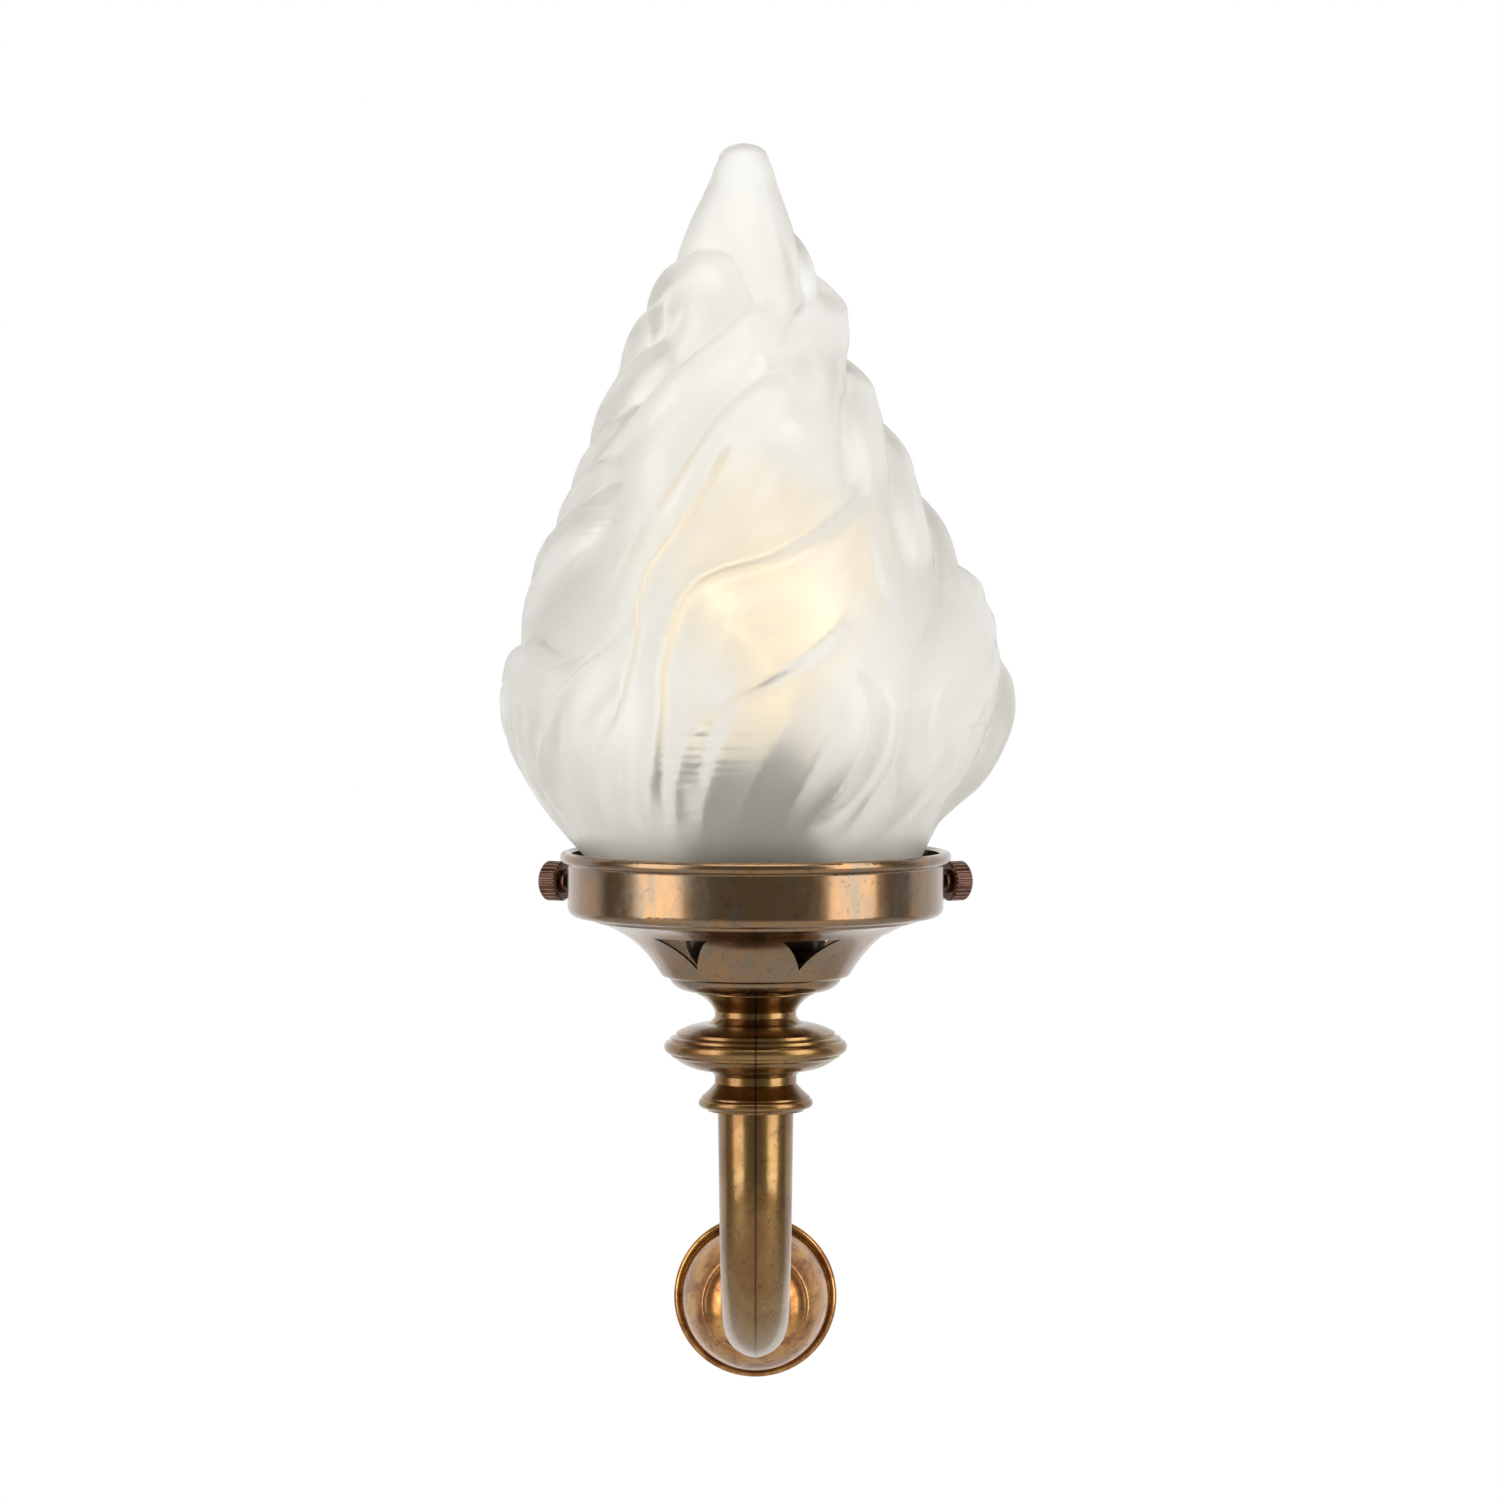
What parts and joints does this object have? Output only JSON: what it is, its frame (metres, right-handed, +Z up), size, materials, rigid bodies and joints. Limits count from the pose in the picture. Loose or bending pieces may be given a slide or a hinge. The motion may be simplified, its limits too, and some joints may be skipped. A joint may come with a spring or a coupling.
{
  "type": "wall sconce",
  "caption": "Torch wall sconce: cast brass arm with turned collars on a small round rose, a spun pierced gallery and a frosted glass flame shade round a screw lamp.",
  "frame": {"origin": "centre of the wall fixing, on the wall face behind the tail of the arm", "axes": "+Z up, +Y into the wall, -Y out into the room, +X to the right as seen from the room"},
  "size_m": [0.1488, 0.187, 0.3666],
  "materials": {
    "cast_brass": "aged, lacquered, satin",
    "spun_brass": "aged, mottled, satin",
    "rose_brass": "aged, mottled, satin",
    "screw_brass": "dark bronzed, knurled",
    "plain_brass": "bright turned",
    "plated_steel": "zinc plated",
    "frosted_glass": "acid frosted, moulded",
    "lamp_clear": "clear blown",
    "ceramic": null,
    "liner": "pressed fibre",
    "lamp_metal": "rolled",
    "lamp_black": "black glass insulator",
    "tungsten": "drawn wire",
    "live_brown": "heat resisting sleeve",
    "neutral_blue": "heat resisting sleeve",
    "earth_green": "heat resisting sleeve"
  },
  "bodies": {
    "bracket": {"wall_plate": "plated_steel", "earth_screw": "plain_brass", "earth_washer": "plain_brass", "wall_rose": "rose_brass", "tail_nipple": "plain_brass", "rose_washer": "plated_steel", "rose_lock_nut": "plain_brass", "arm_half_left": "cast_brass", "arm_half_right": "cast_brass", "top_nipple": "plain_brass", "gallery": "spun_brass", "screw_boss_left": "spun_brass", "screw_boss_right": "spun_brass", "gallery_washer": "plain_brass", "holder_cap": "plain_brass", "holder_shell": "plain_brass", "holder_insert": "ceramic", "holder_liner": "liner", "screw_shell": "plain_brass", "centre_contact": "plain_brass", "earth_block": "plain_brass", "terminal_blocks": "plain_brass", "terminal_screws": "plated_steel", "live_wire": "live_brown", "neutral_wire": "neutral_blue", "earth_wire": "earth_green"},
    "shade": {"flame_shade": "frosted_glass"},
    "lamp": {"lamp_glass": "lamp_clear", "lamp_cap": "lamp_metal", "lamp_insulator": "lamp_black", "lamp_foot_contact": "lamp_metal", "lamp_stem": "lamp_clear", "lamp_filament": "tungsten"},
    "screw_left": {"thumb_screw_left": "screw_brass"},
    "screw_right": {"thumb_screw_right": "screw_brass"}
  },
  "joints": [
    {"name": "shade_lift", "type": "slide", "parent": "bracket", "child": "shade", "axis": [0, 0, 1], "range_m": [0, 0.14]},
    {"name": "lamp_turn", "type": "hinge", "parent": "bracket", "child": "lamp", "pos_m": [0, -0.11, 0.2], "axis": [0, 0, 1], "range_deg": [0, 1080]},
    {"name": "left_screw_travel", "type": "slide", "parent": "bracket", "child": "screw_left", "axis": [-0.866, 0.5, 0], "range_m": [-0.0042, 0.0015]},
    {"name": "right_screw_travel", "type": "slide", "parent": "bracket", "child": "screw_right", "axis": [0.866, 0.5, 0], "range_m": [-0.0042, 0.0015]}
  ]
}
